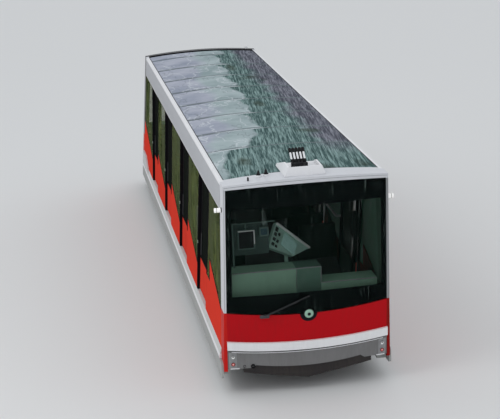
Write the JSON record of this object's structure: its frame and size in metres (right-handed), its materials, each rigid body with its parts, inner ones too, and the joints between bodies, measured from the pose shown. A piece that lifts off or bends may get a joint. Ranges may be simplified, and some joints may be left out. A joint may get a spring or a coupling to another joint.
{
  "type": "funicular car",
  "caption": "Glazed funicular car with a slanting body, stepped floor, raked ends, sliding doors and bogies with one side flanged.",
  "frame": {"origin": "middle of the car in plan, at the height where the wheel flanges touch a flat floor", "axes": "+Y along the track towards the downhill end, +X across it, +Z square to the track"},
  "size_m": [2.5176, 13.7903, 3.5333],
  "materials": {
    "black_plastic": "moulded, satin",
    "seat_shell": "fabric-faced shell",
    "silver_paint": "satin silver",
    "dark_steel": "dark chassis paint",
    "lamp_white": "clear over white",
    "white_plastic": "white insulator",
    "black_paint": "gloss black",
    "desk_plastic": "dark moulded cladding",
    "red_paint": "gloss red lacquer",
    "grey_paint": "satin grey",
    "white_tube": "powder coat",
    "tinted_glass": "clear, green tint",
    "screen_glass": "laminated, dark tint",
    "floor_covering": "ribbed grey",
    "riser_metal": "brushed riser plate",
    "door_paint": "gloss red below, black above",
    "wheel_steel": "worn steel tread"
  },
  "bodies": {
    "car_body": {"antennas": "black_plastic", "bench_backs": "seat_shell", "bench_seats": "seat_shell", "bumper_strips": "silver_paint", "cable_anchor": "dark_steel", "cant_rails": "silver_paint", "corner_lamps": "lamp_white", "cross_members": "dark_steel", "current_collector": "white_plastic", "door_posts": "black_paint", "driver_desks": "desk_plastic", "end_frames": "silver_paint", "end_lamps": "lamp_white", "end_panels": "red_paint", "fascias": "grey_paint", "floor_bearers": "dark_steel", "floor_risers": "riser_metal", "floor_treads": "floor_covering", "grab_poles": "white_tube", "headlights": "black_plastic", "instrument_panels": "desk_plastic", "longitudinal_beams": "dark_steel", "ploughs": "black_paint", "roof_bows": "silver_paint", "roof_glass": "tinted_glass", "roof_tray": "grey_paint", "side_panels": "red_paint", "side_sills": "silver_paint", "side_windows": "tinted_glass", "window_rails": "white_tube", "windshields": "screen_glass", "wipers": "black_plastic"},
    "left_door_1": {"left_door_1": "door_paint", "left_door_glass_1": "tinted_glass"},
    "left_door_2": {"left_door_2": "door_paint", "left_door_glass_2": "tinted_glass"},
    "left_door_3": {"left_door_3": "door_paint", "left_door_glass_3": "tinted_glass"},
    "left_door_4": {"left_door_4": "door_paint", "left_door_glass_4": "tinted_glass"},
    "right_door_1": {"right_door_1": "door_paint", "right_door_glass_1": "tinted_glass"},
    "right_door_2": {"right_door_2": "door_paint", "right_door_glass_2": "tinted_glass"},
    "right_door_3": {"right_door_3": "door_paint", "right_door_glass_3": "tinted_glass"},
    "right_door_4": {"right_door_4": "door_paint", "right_door_glass_4": "tinted_glass"},
    "uphill_bogie": {"uphill_bogie": "dark_steel", "uphill_rail_brake": "dark_steel"},
    "downhill_bogie": {"downhill_bogie": "dark_steel", "downhill_rail_brake": "dark_steel"},
    "wheelset_1": {"wheelset_1": "wheel_steel"},
    "wheelset_2": {"wheelset_2": "wheel_steel"},
    "wheelset_3": {"wheelset_3": "wheel_steel"},
    "wheelset_4": {"wheelset_4": "wheel_steel"}
  },
  "joints": [
    {"name": "left_door_1_slide", "type": "slide", "parent": "car_body", "child": "left_door_1", "axis": [0, -1, 0], "range_m": [0, 0.95]},
    {"name": "left_door_2_slide", "type": "slide", "parent": "car_body", "child": "left_door_2", "axis": [0, -1, 0], "range_m": [0, 0.95]},
    {"name": "left_door_3_slide", "type": "slide", "parent": "car_body", "child": "left_door_3", "axis": [0, -1, 0], "range_m": [0, 0.95]},
    {"name": "left_door_4_slide", "type": "slide", "parent": "car_body", "child": "left_door_4", "axis": [0, -1, 0], "range_m": [0, 0.95]},
    {"name": "right_door_1_slide", "type": "slide", "parent": "car_body", "child": "right_door_1", "axis": [0, -1, 0], "range_m": [0, 0.95]},
    {"name": "right_door_2_slide", "type": "slide", "parent": "car_body", "child": "right_door_2", "axis": [0, -1, 0], "range_m": [0, 0.95]},
    {"name": "right_door_3_slide", "type": "slide", "parent": "car_body", "child": "right_door_3", "axis": [0, -1, 0], "range_m": [0, 0.95]},
    {"name": "right_door_4_slide", "type": "slide", "parent": "car_body", "child": "right_door_4", "axis": [0, -1, 0], "range_m": [0, 0.95]},
    {"name": "uphill_bogie_swivel", "type": "hinge", "parent": "car_body", "child": "uphill_bogie", "pos_m": [0, -3.855, 0.455], "axis": [0, 0, 1], "range_deg": [-4, 4]},
    {"name": "downhill_bogie_swivel", "type": "hinge", "parent": "car_body", "child": "downhill_bogie", "pos_m": [0, 4.145, 0.455], "axis": [0, 0, 1], "range_deg": [-4, 4]},
    {"name": "wheelset_1_spin", "type": "hinge", "parent": "uphill_bogie", "child": "wheelset_1", "pos_m": [0, -4.505, 0.298], "axis": [1, 0, 0], "continuous": true},
    {"name": "wheelset_2_spin", "type": "hinge", "parent": "uphill_bogie", "child": "wheelset_2", "pos_m": [0, -3.205, 0.298], "axis": [1, 0, 0], "continuous": true},
    {"name": "wheelset_3_spin", "type": "hinge", "parent": "downhill_bogie", "child": "wheelset_3", "pos_m": [0, 3.495, 0.298], "axis": [1, 0, 0], "continuous": true},
    {"name": "wheelset_4_spin", "type": "hinge", "parent": "downhill_bogie", "child": "wheelset_4", "pos_m": [0, 4.795, 0.298], "axis": [1, 0, 0], "continuous": true}
  ]
}
